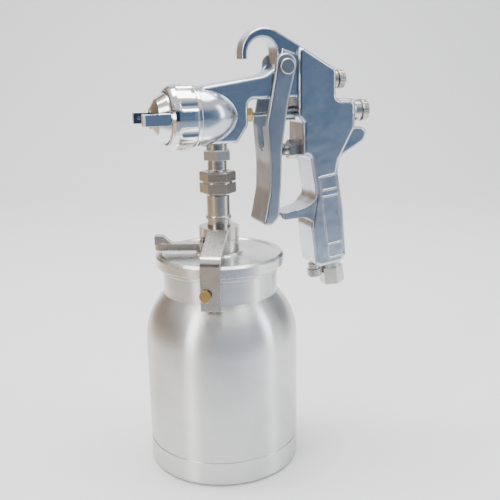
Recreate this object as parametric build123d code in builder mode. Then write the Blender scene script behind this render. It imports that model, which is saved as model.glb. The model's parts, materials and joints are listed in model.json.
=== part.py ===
"""Suction-feed HVLP spray gun standing on its paint cup.

Frame, in millimetres: the origin is the centre of the cup's base, +Z is up,
the gun sprays towards -X, and the cup and the fluid inlet share the Z axis.
"""

import math
import os

from build123d import *

os.makedirs("parts", exist_ok=True)

# ---------------------------------------------------------------- driving dimensions
FIT = 0.06  # radial clearance of a running fit
SEAT = 0.1  # gap between faces that bear on each other

# paint cup
CUP_R = 52.0
CUP_WALL = 1.2
CUP_FLOOR_Z = 3.0
SHOULDER_Z = 89.0  # the straight side ends here
NECK_R = 38.5
NECK_Z = 121.0  # the neck starts here
LIP_R = 40.4
LIP_Z = 140.2
LID_R = 43.3
LID_TOP_Z = 148.0
STEM_R = 7.7
HUB_R = 13.5  # clamp hub and cam hub
HUB_LOW_Z = 149.1
HUB_TOP_Z = 165.5
CAM_RISE = 5.1  # climb of the cam over half a turn
CAM_TURN = 45.0  # degrees that the lever turns between tight, as here, and loose
STUD_Z = 131.0
ARM_R = 44.6  # inner face of the clamp arms
ARM_T = 3.0
ARM_W = 13.0
YOKE_TURN = -29.5  # degrees, direction of the clamp arms seen from above
LEVER_TURN = -20.5
UNION_AF = 21.0
UNION_LOW_Z = 187.5
UNION_TOP_Z = 202.5
NIPPLE_END_Z = 191.7

# gun
AXIS_Z = 238.0  # needle axis
THREAD_G38_R = 8.33
BODY_FLOOR_Z = 219.6
WEB_HALF = 10.0  # half thickness of the casting beside the trigger
GRIP_HALF = 13.2  # half thickness of the grip
POD_R = 19.4
HEAD_X = -14.3  # front face of the pod
RING_REAR_X = -17.2
RING_FRONT_X = -34.0
RING_R = 21.0
CAP_OPENING_R = 16.8  # front opening of the retaining ring
HORN_TIP_X = -51.5
NEEDLE_R = 1.5
REAR_BORE_R = 5.0
PIVOT_X, PIVOT_Z = 44.5, 268.5
AIR_VALVE_Z = 213.6
PATTERN_Z = 259.5
REAR_X = 81.7  # rear face behind the pattern valve
BOSS_X = 96.0  # rear face of the needle boss
GRIP_TILT = 7.5  # degrees that the grip's lower end leans back
GRIP_FOOT_Z = 133.2  # foot of the grip where the air inlet stands
INLET_X = 83.3
FLOW_X = 70.3
CHEEK_IN = 10.6  # inner faces of the trigger's cheeks
CHEEK_OUT = 13.7

# directions and planes
ACROSS = Plane.XZ  # side view of the gun: first coordinate along X, second along Z
FRONT_VIEW = Plane(origin=(0, 0, AXIS_Z), x_dir=(0, 1, 0), z_dir=(1, 0, 0))
TILT = math.radians(GRIP_TILT)


def foot_z(x):
    """Height of the grip's foot, which is square to the tilted grip."""
    return GRIP_FOOT_Z + (x - INLET_X) * math.tan(TILT)


def grip_plane(x, out=0.0):
    """A plane on the grip's foot, or below it by `out`; its normal points out of the foot."""
    down = Vector(math.sin(TILT), 0, -math.cos(TILT))
    side = Vector(math.cos(TILT), 0, math.sin(TILT))
    return Plane(origin=Vector(x, 0, foot_z(x)) + down * out, x_dir=side, z_dir=down)


def save(part, name):
    """Labels a finished piece and writes it as its own STEP file."""
    part.label = name
    export_step(part, f"parts/{name}.step")


def turned(points, height=AXIS_Z):
    """A body turned about the X axis at the given height, from (x, radius) points."""
    with BuildPart() as body:
        with BuildSketch(ACROSS):
            with BuildLine():
                Polyline([(x, height + radius) for x, radius in points], close=True)
            make_face()
        revolve(axis=Axis((0, 0, height), (1, 0, 0)))
    return body.part


def spun(points):
    """A body turned about the Z axis, from (radius, z) points."""
    with BuildPart() as body:
        with BuildSketch(ACROSS):
            with BuildLine():
                Polyline(points, close=True)
            make_face()
        revolve(axis=Axis.Z)
    return body.part


def rod(x_start, x_end, radius, height=AXIS_Z):
    """A solid bar along X."""
    with BuildPart() as body:
        with BuildSketch(Plane(origin=(x_start, 0, height), x_dir=(0, 1, 0), z_dir=(1, 0, 0))):
            Circle(radius)
        extrude(amount=x_end - x_start)
    return body.part


def thread_points(start, end, crest, root, pitch):
    """(place, radius) points of ring grooves between two places."""
    points = []
    for turn in range(int(abs(end - start) / pitch)):
        low = start + math.copysign(pitch, end - start) * turn
        points.append((low, crest))
        points.append((low + math.copysign(pitch, end - start) * 0.5, root))
    points.append((end, crest))
    return points


def slab(points, radii, half, edge):
    """A flat casting: a side-view outline with rounded corners, both ways from the middle."""
    with BuildPart() as plate:
        with BuildSketch(ACROSS):
            with BuildLine():
                FilletPolyline(points, radius=radii, close=True)
            make_face()
        extrude(amount=half, both=True)
        if edge:
            fillet(plate.faces().filter_by(Axis.Y).edges(), edge)
    return plate.part


# ---------------------------------------------------------------- gun body
HOOK_IN_X, HOOK_IN_Z, HOOK_IN_R = 30.5, 277.0, 9.7
HOOK_OUT_X, HOOK_OUT_Z, HOOK_OUT_R = 32.3, 277.3, 15.6
SLOPE_END = (REAR_X, 266.6)


def pod():
    """The polished bullet behind the retaining ring, with the head's thread."""
    with BuildPart() as bullet:
        with BuildSketch(ACROSS):
            with BuildLine():
                Line((HEAD_X, AXIS_Z), (HEAD_X, AXIS_Z + POD_R))
                Line((HEAD_X, AXIS_Z + POD_R), (HEAD_X + 3, AXIS_Z + POD_R))
                TangentArc((HEAD_X + 3, AXIS_Z + POD_R), (15.0, AXIS_Z + 5.0), tangent=(1, 0))
                Line((15.0, AXIS_Z + 5.0), (15.0, AXIS_Z))
                Line((15.0, AXIS_Z), (HEAD_X, AXIS_Z))
            make_face()
        revolve(axis=Axis((0, 0, AXIS_Z), (1, 0, 0)))
    return bullet.part


def head():
    """The threaded head that carries the retaining ring."""
    crest = RING_R - 3.0 - FIT
    points = [(HEAD_X + 1, 0)]
    points += [(HEAD_X + 1, crest)]
    points += thread_points(HEAD_X - 3.2, -24.0, crest, crest - 0.6, 1.25)
    points += [(-24.0, 0)]
    return turned(points)


def web():
    """The flat bridge between the pod, the trigger pivot and the grip."""
    outline = [
        (-11.0, 220.5), (11.6, 220.5), (19.2, 231.5), (19.2, 248.0), (62.0, 248.0),
        (62.0, 275.0), (43.0, 280.0), (40.0, 269.0), (31.0, 263.2), (-11.0, 257.0),
    ]
    corners = [0, 3, 5, 4, 0, 0, 0, 6, 12, 0]
    return slab(outline, corners, WEB_HALF, 2.5)


def hook():
    """The hanging hook: a band between two circles, narrower at its tip."""
    reach = math.radians(60)
    out_mid = (HOOK_OUT_X - HOOK_OUT_R * math.sin(reach / 2), HOOK_OUT_Z + HOOK_OUT_R * math.cos(reach / 2))
    out_end = (HOOK_OUT_X + HOOK_OUT_R * math.cos(reach), HOOK_OUT_Z + HOOK_OUT_R * math.sin(reach))
    tip_out = (HOOK_OUT_X - HOOK_OUT_R, HOOK_OUT_Z - 4.0)
    tip_in = (HOOK_IN_X - HOOK_IN_R, HOOK_IN_Z - 3.7)
    with BuildPart() as band:
        with BuildSketch(ACROSS):
            with BuildLine():
                Line(tip_in, tip_out)
                Line(tip_out, (HOOK_OUT_X - HOOK_OUT_R, HOOK_OUT_Z))
                ThreePointArc((HOOK_OUT_X - HOOK_OUT_R, HOOK_OUT_Z), out_mid, out_end)
                Line(out_end, (56.0, 281.5))
                Line((56.0, 281.5), (56.0, 262.0))
                Line((56.0, 262.0), (HOOK_IN_X + HOOK_IN_R, 262.0))
                Line((HOOK_IN_X + HOOK_IN_R, 262.0), (HOOK_IN_X + HOOK_IN_R, HOOK_IN_Z))
                ThreePointArc(
                    (HOOK_IN_X + HOOK_IN_R, HOOK_IN_Z),
                    (HOOK_IN_X, HOOK_IN_Z + HOOK_IN_R),
                    (HOOK_IN_X - HOOK_IN_R, HOOK_IN_Z),
                )
                Line((HOOK_IN_X - HOOK_IN_R, HOOK_IN_Z), tip_in)
            make_face()
        extrude(amount=WEB_HALF + 1, both=True)
        with BuildSketch(Plane.XY.offset(255)):
            with BuildLine():
                Polyline((10.0, -5.0), (56.0, -WEB_HALF), (56.0, WEB_HALF), (10.0, 5.0), close=True)
            make_face()
        extrude(amount=45, mode=Mode.INTERSECT)
        long_sides = [edge for edge in band.edges() if edge.center().Z > 276 and abs(edge.center().Y) > 4]
        fillet(long_sides, 1.5)
    return band.part


def rear_rim():
    """The thinner rim round the back of the grip, with the beavertail."""
    outline = [
        (50.0, 285.0), SLOPE_END, (REAR_X, 246.6), (BOSS_X, 246.6), (BOSS_X, 227.6),
        (107.4, 226.6), (104.6, 217.2), (86.2, 207.0), (84.9, 197.0), (89.4, 170.4), (91.4, 148.0),
        (91.2, foot_z(91.2)), (72.0, foot_z(72.0)), (72.0, 184.0), (60.0, 224.0),
    ]
    corners = [0, 4, 3, 3, 1, 4, 4, 9, 12, 30, 30, 3, 0, 0, 0]
    return slab(outline, corners, 9.4, 2.2)


def grip():
    """The thick side faces of the grip, from the slope down to the foot."""
    outline = [
        (53.2, 236.0), (53.2, 282.2), (REAR_X - 1.0, 266.2), (REAR_X - 1.0, 245.6), (BOSS_X - 0.8, 245.6),
        (BOSS_X - 0.8, 227.0), (83.0, 205.0), (81.6, 197.0), (86.0, 170.2), (88.2, 148.0),
        (88.2, foot_z(88.2)),
        (66.9, foot_z(66.9)), (63.2, 160.0), (66.4, 184.0), (62.0, 210.2), (56.8, 210.2), (56.8, 232.0),
    ]
    corners = [0, 3, 5, 4, 4, 5, 14, 14, 30, 30, 4, 4, 8, 14, 4, 0, 0]
    return slab(outline, corners, GRIP_HALF, 2.4)


def guard():
    """The finger rest that reaches from the grip into the trigger's channel."""
    with BuildPart() as shelf:
        with BuildSketch(ACROSS):
            with BuildLine():
                FilletPolyline(
                    [(70.0, 186.0), (65.5, 179.5), (60.0, 174.2), (43.2, 171.0), (43.2, 166.6),
                     (60.0, 167.6),
                     (66.0, 163.0), (70.0, 158.0)],
                    radius=[0, 12, 12, 2, 2, 6, 8, 0], close=True,
                )
            make_face()
        extrude(amount=GRIP_HALF, both=True)
        with BuildSketch(Plane.XY.offset(150)):
            with BuildLine():
                FilletPolyline(
                    [(43.0, -8.2), (56.0, -9.4), (64.0, -GRIP_HALF + 0.8), (72.0, -GRIP_HALF + 0.8),
                     (72.0, GRIP_HALF - 0.8), (64.0, GRIP_HALF - 0.8), (56.0, 9.4), (43.0, 8.2)],
                    radius=[3, 4, 4, 0, 0, 4, 4, 3], close=True,
                )
            make_face()
        extrude(amount=45, mode=Mode.INTERSECT)
    return shelf.part


def panel_relief(side):
    """Raised frame and ribs on one face of the grip, standing half a millimetre proud."""
    proud = 0.5
    face = Plane(
        origin=(78.0, side * GRIP_HALF, 170.0),
        x_dir=(-side * math.cos(TILT), 0, -side * math.sin(TILT)),
        z_dir=(0, side, 0),
    )
    with BuildPart() as relief:
        with BuildSketch(face.offset(-1.0)):
            with Locations((0, 26.0), (0, 16.5), (0, 12.0), (0, -22.0), (0, -32.0)):
                SlotOverall(12.5, 1.1)
            with Locations((-6.3, -3.0), (6.3, -3.0)):
                Rectangle(1.1, 58.0)
        extrude(amount=1.0 + proud)
    return relief.part


def serrations():
    """Fine grooves across the back of the grip."""
    pitch = 2.3
    low, middle, top = (91.2, 147.0), (89.4, 170.4), (86.6, 190.0)
    with BuildPart() as grooves:
        for groove in range(int((top[1] - low[1]) / pitch)):
            z = low[1] + groove * pitch
            start, end = (low, middle) if z < middle[1] else (middle, top)
            x = start[0] + (end[0] - start[0]) * (z - start[1]) / (end[1] - start[1])
            with Locations(Location((x + 0.35, 0, z), (90, 0, 0))):
                Cylinder(0.8, 24.0)
    return grooves.part


def gun_body():
    """The casting: outside shape first, then the air and fluid passages."""
    pieces = [head(), pod(), web(), hook(), rear_rim(), grip(), guard(), panel_relief(-1), panel_relief(1)]
    grip_axis = grip_plane(INLET_X)
    with BuildPart() as body:
        for piece in pieces:
            add(piece)
        with BuildSketch(Plane(origin=(78, 0, AXIS_Z - 1), x_dir=(0, 1, 0), z_dir=(1, 0, 0))):
            RectangleRounded(22.0, 18.6, 5.0)
        extrude(amount=BOSS_X - 78)
        add(serrations(), mode=Mode.SUBTRACT)
        add(rod(-24.5, -9.0, 6.0 + FIT), mode=Mode.SUBTRACT)
        add(rod(-10.0, 9.5, 3.3), mode=Mode.SUBTRACT)
        add(rod(9.0, 25.0, 4.1), mode=Mode.SUBTRACT)
        add(rod(50.0, 100.0, REAR_BORE_R), mode=Mode.SUBTRACT)
        add(rod(84.0, 100.0, 7.0 + FIT), mode=Mode.SUBTRACT)
        add(rod(64.0, 90.0, 5.0 + FIT, PATTERN_Z), mode=Mode.SUBTRACT)
        add(rod(50.0, 84.0, 5.0 + FIT, AIR_VALVE_Z), mode=Mode.SUBTRACT)
        with Locations((0, 0, BODY_FLOOR_Z - 1)):
            Cylinder(3.4, 19.0, align=(Align.CENTER, Align.CENTER, Align.MIN), mode=Mode.SUBTRACT)
            Cylinder(6.0 + FIT, 9.0, align=(Align.CENTER, Align.CENTER, Align.MIN), mode=Mode.SUBTRACT)
        with Locations((0, 0, BODY_FLOOR_Z + 0.8)):
            Cylinder(7.2, 4.0, align=(Align.CENTER, Align.CENTER, Align.MAX), mode=Mode.SUBTRACT)
        with Locations(Location((PIVOT_X, 0, PIVOT_Z), (90, 0, 0))):
            Cylinder(3.0 + FIT, 40.0, mode=Mode.SUBTRACT)
        with BuildSketch(grip_plane(INLET_X, 1.0)):
            Circle(6.5 + FIT)
        extrude(amount=-13.0, mode=Mode.SUBTRACT)
        with BuildSketch(grip_axis):
            Circle(3.6)
        extrude(amount=-80.0, mode=Mode.SUBTRACT)
        with BuildSketch(grip_plane(FLOW_X, 3.0)):
            Circle(2.6 + FIT)
        extrude(amount=-16.0, mode=Mode.SUBTRACT)
        with Locations(FRONT_VIEW.offset(-24.0).location):
            with PolarLocations(13.4, 10):
                Cylinder(1.3, 30.0, mode=Mode.SUBTRACT)
    return body.part


save(gun_body(), "gun_body")


# ---------------------------------------------------------------- spray head
def hexagon(across, plane, thickness, turn=0.0):
    """A hexagonal block, chamfered at its far end."""
    with BuildPart() as block:
        with BuildSketch(plane):
            RegularPolygon(across / 2, 6, major_radius=False, rotation=turn)
        extrude(amount=thickness)
        chamfer(block.faces().sort_by(Axis(plane.origin, plane.z_dir))[-1].edges(), across * 0.05)
    return block.part


def along_x(x, height=AXIS_Z):
    """A plane across the needle's direction, looking rearwards."""
    return Plane(origin=(x, 0, height), x_dir=(0, 1, 0), z_dir=(1, 0, 0))


with BuildPart() as fluid_nozzle:
    add(turned([
        (-9.5, 3.0), (-9.5, 6.0), (-24.1, 6.0), (-24.1, 10.5), (-26.4, 10.5), (-26.4, 7.0), (-33.0, 7.0),
        (-40.0, 2.6), (-42.6, 2.0), (-43.6, 2.0), (-43.6, 0.85), (-38.6, 3.0),
    ]))
save(fluid_nozzle.part, "fluid_nozzle")

with BuildPart() as head_ring:
    add(turned([
        (RING_REAR_X + 0.2, 18.0), (RING_REAR_X + 0.2, 19.6), (RING_REAR_X + 0.6, 20.0),
        (HEAD_X - 0.5, 20.0), (HEAD_X - 0.1, 19.6), (HEAD_X - 0.1, 18.0),
    ]))
save(head_ring.part, "head_ring")

with BuildPart() as cap_washer:
    add(turned([(-24.2, 14.9), (-24.2, 17.6), (-27.2, 17.6), (-27.2, 14.9)]))
save(cap_washer.part, "cap_washer")

CAP_BACK_X = -27.3
CAP_JETS = 8
with BuildPart() as air_cap:
    add(turned([
        (CAP_BACK_X, 14.0), (CAP_BACK_X, 17.6), (-30.8, 17.6), (-30.8, 16.5), (-34.6, 15.9), (-40.3, 12.3),
        (-42.6, 8.2), (-43.6, 6.6), (-43.6, 0), (-41.6, 0), (-38.0, 7.5), (-31.0, 13.0),
    ]))
    with BuildSketch(Plane.XY.offset(AXIS_Z)):
        for side in (-1, 1):
            with BuildLine():
                Polyline(
                    (-31.5, side * 16.3), (HORN_TIP_X + 1.5, side * 16.3), (HORN_TIP_X, side * 15.0),
                    (HORN_TIP_X, side * 11.6), (-42.0, side * 9.4), (-36.0, side * 12.0),
                    (-31.5, side * 13.6),
                    close=True,
                )
            make_face()
    extrude(amount=3.6, both=True)
    with BuildSketch(FRONT_VIEW.offset(-32.0)):
        Circle(2.5)
        with PolarLocations(4.9, CAP_JETS, start_angle=22.5):
            Circle(0.55)
    extrude(amount=-15.0, mode=Mode.SUBTRACT)
    with Locations(Location((-48.2, 0, AXIS_Z), (90, 0, 0)), Location((-44.6, 0, AXIS_Z), (90, 0, 0))):
        Cylinder(0.8, 28.6, mode=Mode.SUBTRACT)
    for side in (-1, 1):
        with Locations(Location((-38.6, side * 13.9, AXIS_Z), (0, 90, 0))):
            Cylinder(1.0, 21.0, mode=Mode.SUBTRACT)
save(air_cap.part, "air_cap")

RING_BORE = RING_R - 3.0
FLUTES = 8
with BuildPart() as retaining_ring:
    add(turned([
        (RING_REAR_X, RING_BORE), (RING_REAR_X, 20.2), (RING_REAR_X - 0.5, 20.7), (-20.0, RING_R),
        (-29.6, RING_R), (-31.9, 20.2), (-33.4, 18.8), (RING_FRONT_X, 17.4), (RING_FRONT_X, CAP_OPENING_R),
        (-31.0, CAP_OPENING_R), (-31.0, RING_BORE),
    ]))
    with BuildSketch(along_x(RING_REAR_X + 0.1)):
        with PolarLocations(RING_R + 3.4, FLUTES, start_angle=180 / FLUTES):
            Circle(5.0)
    extrude(amount=-9.4, mode=Mode.SUBTRACT)
    for flute in range(FLUTES):
        turn = math.radians(360 / FLUTES * (flute + 0.5))
        spot = ((RING_R + 3.4) * math.cos(turn), (RING_R + 3.4) * math.sin(turn))
        with Locations((RING_REAR_X - 9.3, spot[0], AXIS_Z + spot[1])):
            Sphere(5.0, mode=Mode.SUBTRACT)
save(retaining_ring.part, "retaining_ring")


# ---------------------------------------------------------------- needle and its packing
CHUCK_X = 45.4  # front face of the needle's chuck, where the trigger pushes
with BuildPart() as fluid_needle:
    add(turned([
        (-43.2, 0), (-43.2, 0.5), (-39.5, NEEDLE_R), (CHUCK_X, NEEDLE_R), (CHUCK_X, 3.9),
        (CHUCK_X + 0.8, 4.7),
        (CHUCK_X + 1.6, REAR_BORE_R - FIT), (60.0, REAR_BORE_R - FIT), (60.0, 2.0), (88.0, 2.0), (88.0, 0),
    ]))
save(fluid_needle.part, "fluid_needle")

with BuildPart() as needle_packing:
    add(turned([(9.6, NEEDLE_R + FIT), (9.6, 4.0), (13.8, 4.0), (13.8, NEEDLE_R + FIT)]))
save(needle_packing.part, "needle_packing")

with BuildPart() as packing_nut:
    add(turned([(13.9, NEEDLE_R + 0.3), (13.9, 4.05), (19.4, 4.05), (19.4, NEEDLE_R + 0.3)]))
    add(hexagon(9.0, along_x(19.3), 5.2))
    add(rod(12.0, 26.0, NEEDLE_R + 0.3), mode=Mode.SUBTRACT)
save(packing_nut.part, "needle_packing_nut")


def coil(x_start, x_end, radius, wire, turns, height):
    """A compression spring along X."""
    with BuildPart() as spring:
        with BuildLine() as path:
            Helix(pitch=(x_end - x_start) / turns, height=x_end - x_start, radius=radius,
                  center=(x_start, 0, height), direction=(1, 0, 0))
        start = path.wire() @ 0
        with BuildSketch(Plane(origin=start, z_dir=path.wire() % 0)):
            Circle(wire / 2)
        sweep(is_frenet=True)
    return spring.part


needle_spring = coil(60.6, 97.0, 3.7, 0.8, 11, AXIS_Z)
save(needle_spring, "needle_spring")


# ---------------------------------------------------------------- valves with knurled knobs
def knob(x_start, x_end, radius, ribs, height):
    """A round knob with knurled ribs, along X."""
    with BuildPart() as head_part:
        add(turned([
            (x_start, 0), (x_start, radius - 0.5), (x_start + 0.5, radius), (x_end - 1.2, radius),
            (x_end, radius - 1.6), (x_end, 0),
        ], height))
        with BuildSketch(along_x(x_start + 0.7, height)):
            with PolarLocations(radius + 0.15, ribs):
                Rectangle(0.7, 0.7, rotation=45)
        extrude(amount=x_end - x_start - 1.4, mode=Mode.SUBTRACT)
    return head_part.part


GUIDE_END = 104.0
with BuildPart() as fluid_guide:
    add(turned([
        (86.0, 5.6), (86.0, 7.0), (BOSS_X + SEAT, 7.0), (BOSS_X + SEAT, 8.2), (BOSS_X + 1.2, 8.4),
        (BOSS_X + 2.4, 8.2), (BOSS_X + 2.4, 7.4), (GUIDE_END - 0.6, 7.4), (GUIDE_END, 6.9),
        (GUIDE_END, 5.6),
    ]))
save(fluid_guide.part, "fluid_knob_guide")

with BuildPart() as fluid_knob:
    add(knob(GUIDE_END + 0.8, 110.2, 7.6, 30, AXIS_Z))
    add(turned([(90.0, 4.3), (90.0, 5.54), (105.5, 5.54), (105.5, 4.3)]))
    add(rod(88.0, 101.2, 4.3), mode=Mode.SUBTRACT)
    add(turned([(101.2, 4.7), (101.2, 5.8), (102.6, 5.8), (102.6, 4.7)]), mode=Mode.SUBTRACT)
save(fluid_knob.part, "fluid_knob")

with BuildPart() as fluid_seal:
    add(turned([(101.3, 4.75), (101.3, 5.5), (102.5, 5.5), (102.5, 4.75)]))
save(fluid_seal.part, "fluid_knob_seal")

with BuildPart() as pattern_guide:
    add(turned([
        (73.0, 2.9), (73.0, 5.0), (REAR_X + SEAT, 5.0), (REAR_X + SEAT, 6.4), (85.6, 6.4),
        (86.2, 5.8), (86.2, 2.9),
    ], PATTERN_Z))
save(pattern_guide.part, "pattern_valve_guide")

with BuildPart() as pattern_knob:
    add(knob(87.0, 92.3, 6.4, 26, PATTERN_Z))
    add(turned([
        (66.5, 0), (66.5, 0.6), (69.0, 2.2), (73.5, 2.84), (88.0, 2.84), (88.0, 0),
    ], PATTERN_Z))
    add(turned([(78.0, 2.0), (78.0, 3.2), (79.4, 3.2), (79.4, 2.0)], PATTERN_Z), mode=Mode.SUBTRACT)
save(pattern_knob.part, "pattern_knob")

with BuildPart() as pattern_seal:
    add(turned([(78.1, 2.05), (78.1, 2.82), (79.3, 2.82), (79.3, 2.05)], PATTERN_Z))
save(pattern_seal.part, "pattern_valve_seal")


# ---------------------------------------------------------------- air valve
VALVE_STEM_R = 1.6
with BuildPart() as air_valve_body:
    add(turned([(50.0, 2.0), (46.6, 2.0), (46.6, 3.8), (47.2, 4.4), (50.0, 4.4)], AIR_VALVE_Z))
    add(hexagon(11.6, Plane(origin=(56.7, 0, AIR_VALVE_Z), x_dir=(0, 0, 1), z_dir=(-1, 0, 0)), 6.8))
    add(turned([(56.0, 2.0), (56.0, 5.0), (66.0, 5.0), (66.0, 2.0)], AIR_VALVE_Z))
    add(rod(45.0, 68.0, VALVE_STEM_R + FIT, AIR_VALVE_Z), mode=Mode.SUBTRACT)
save(air_valve_body.part, "air_valve_body")

with BuildPart() as air_valve_stem:
    add(turned([
        (35.3, 0), (35.3, 1.0), (35.9, VALVE_STEM_R), (67.3, VALVE_STEM_R), (67.3, 4.2),
        (68.4, 4.2), (68.4, 1.2),
        (72.0, 1.2), (72.0, 0),
    ], AIR_VALVE_Z))
save(air_valve_stem.part, "air_valve_stem")

with BuildPart() as air_valve_seal:
    add(turned([(66.2, 1.75), (66.2, 4.2), (67.2, 4.2), (67.2, 1.75)], AIR_VALVE_Z))
save(air_valve_seal.part, "air_valve_seal")

air_spring = coil(69.0, 77.4, 3.0, 0.7, 5, AIR_VALVE_Z)
save(air_spring, "air_valve_spring")


# ---------------------------------------------------------------- trigger
with BuildPart() as trigger:
    with BuildSketch(ACROSS):
        with BuildLine():
            FilletPolyline(
                [(37.3, 268.5), (37.3, 277.0), (51.7, 277.0), (51.7, 268.5), (46.0, 247.0), (41.2, 215.0),
                 (40.4, 192.0), (38.6, 170.0), (33.5, 164.8), (27.2, 165.4), (29.0, 173.0), (32.0, 188.0),
                 (32.4, 206.0), (30.3, 232.0), (33.6, 248.0)],
                radius=[0, 7.1, 7.1, 8, 40, 40, 20, 6, 4, 2, 20, 30, 40, 12, 20], close=True,
            )
        make_face()
    extrude(amount=CHEEK_OUT, both=True)
    fillet(trigger.faces().filter_by(Axis.Y).edges(), 1.6)
    with BuildSketch(ACROSS):
        with BuildLine():
            FilletPolyline(
                [(60.0, 160.0), (60.0, 280.0), (20.0, 280.0), (20.0, 231.4), (31.0, 230.4),
                 (32.8, 229.0), (35.0, 206.0), (34.6, 188.0), (31.8, 174.0), (30.6, 168.4), (34.0, 167.2),
                 (38.0, 160.0)],
                radius=[0, 0, 0, 0, 1, 1, 40, 30, 20, 1, 2, 0], close=True,
            )
        make_face()
    extrude(amount=CHEEK_IN, both=True, mode=Mode.SUBTRACT)
    with BuildSketch(Plane.YZ):
        with Locations((0, 225.6)):
            SlotOverall(24.0, 11.0, rotation=90)
    extrude(amount=34.0, mode=Mode.SUBTRACT)
    with Locations(Location((PIVOT_X, 0, PIVOT_Z), (90, 0, 0))):
        Cylinder(3.0 + FIT, 40.0, mode=Mode.SUBTRACT)
    for side in (-1, 1):
        with Locations((43.6, side * (CHEEK_IN + 2.4) / 2, AXIS_Z)):
            Box(2.8, CHEEK_IN - 2.2, 3.4)
save(trigger.part, "trigger")


def along_y(y):
    """A plane across the trigger pivot, looking to the far side."""
    return Plane(origin=(PIVOT_X, y, PIVOT_Z), x_dir=(1, 0, 0), z_dir=(0, 1, 0))


HEAD_Y = CHEEK_OUT + SEAT
with BuildPart() as pivot_stud:
    with BuildSketch(along_y(-HEAD_Y - 2.4)):
        Circle(5.2)
    extrude(amount=2.4)
    fillet(pivot_stud.faces().sort_by(Axis.Y)[0].edges(), 1.1)
    with BuildSketch(along_y(-HEAD_Y - 0.5)):
        Circle(3.0)
    extrude(amount=2 * HEAD_Y + 0.4)
    with BuildSketch(along_y(HEAD_Y)):
        Circle(1.6)
    extrude(amount=-9.0, mode=Mode.SUBTRACT)
save(pivot_stud.part, "trigger_pivot")

with BuildPart() as pivot_screw:
    with BuildSketch(along_y(HEAD_Y)):
        Circle(4.4)
    extrude(amount=1.9)
    fillet(pivot_screw.faces().sort_by(Axis.Y)[-1].edges(), 0.7)
    with BuildSketch(along_y(HEAD_Y + 1.9)):
        Rectangle(7.4, 1.0)
    extrude(amount=-0.8, mode=Mode.SUBTRACT)
    with BuildSketch(along_y(HEAD_Y + 0.2)):
        Circle(1.6 - FIT)
    extrude(amount=-8.0)
save(pivot_screw.part, "pivot_screw")


# ---------------------------------------------------------------- fittings on the gun
with BuildPart() as fluid_nipple:
    points = [(3.4, NIPPLE_END_Z), (7.2, NIPPLE_END_Z)]
    grooves = thread_points(NIPPLE_END_Z + 1.1, 202.0, THREAD_G38_R, 7.7, 1.34)
    points += [(radius, z) for z, radius in grooves]
    points += [
        (7.4, 202.6), (6.35, 203.6), (6.35, 213.0), (6.9, 213.0),
        (6.9, BODY_FLOOR_Z + 0.7), (6.0, BODY_FLOOR_Z + 0.7), (6.0, 227.0), (3.4, 227.0),
    ]
    add(spun(points))
    add(hexagon(17.0, Plane.XY.offset(209.9), 6.8, turn=11))
    with Locations((0, 0, NIPPLE_END_Z - 1)):
        Cylinder(3.4, 40.0, align=(Align.CENTER, Align.CENTER, Align.MIN), mode=Mode.SUBTRACT)
save(fluid_nipple.part, "fluid_nipple")

INLET_BORE_R = 5.75
with BuildPart() as air_inlet:
    with BuildSketch(grip_plane(INLET_X, SEAT)):
        Circle(7.2)
    extrude(amount=5.0)
    with BuildSketch(grip_plane(INLET_X, 5.0)):
        RegularPolygon(7.6, 6, major_radius=False, rotation=30)
    extrude(amount=12.6)
    low_rim = air_inlet.faces().sort_by(Axis.Z)[0].edges()
    chamfer(low_rim, 0.9)
    with BuildSketch(grip_plane(INLET_X, 0.5)):
        Circle(6.5)
    extrude(amount=-11.5)
    with BuildSketch(grip_plane(INLET_X, 18.0)):
        Circle(INLET_BORE_R)
    extrude(amount=-12.4, mode=Mode.SUBTRACT)
    with BuildSketch(grip_plane(INLET_X, 8.0)):
        Circle(3.6)
    extrude(amount=-25.0, mode=Mode.SUBTRACT)
save(air_inlet.part, "air_inlet")

with BuildPart() as flow_guide:
    with BuildSketch(grip_plane(FLOW_X, SEAT)):
        Circle(4.3)
    extrude(amount=3.6)
    with BuildSketch(grip_plane(FLOW_X, 0.5)):
        Circle(2.6)
    extrude(amount=-12.0)
    with BuildSketch(grip_plane(FLOW_X, 5.0)):
        Circle(1.6 + FIT)
    extrude(amount=-30.0, mode=Mode.SUBTRACT)
save(flow_guide.part, "flow_valve_guide")

with BuildPart() as flow_screw:
    with BuildSketch(grip_plane(FLOW_X, 4.1)):
        Circle(5.1)
    extrude(amount=5.6)
    chamfer(flow_screw.faces().sort_by(Axis.Z)[0].edges(), 0.7)
    with BuildSketch(grip_plane(FLOW_X, 4.4)):
        with PolarLocations(5.2, 18):
            Rectangle(0.8, 0.8, rotation=45)
    extrude(amount=6.0, mode=Mode.SUBTRACT)
    with BuildSketch(grip_plane(FLOW_X, 9.7)):
        Rectangle(1.2, 8.4)
    extrude(amount=-1.4, mode=Mode.SUBTRACT)
    with BuildSketch(grip_plane(FLOW_X, 4.5)):
        Circle(1.6)
    extrude(amount=-15.5)
save(flow_screw.part, "flow_valve_screw")


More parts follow.
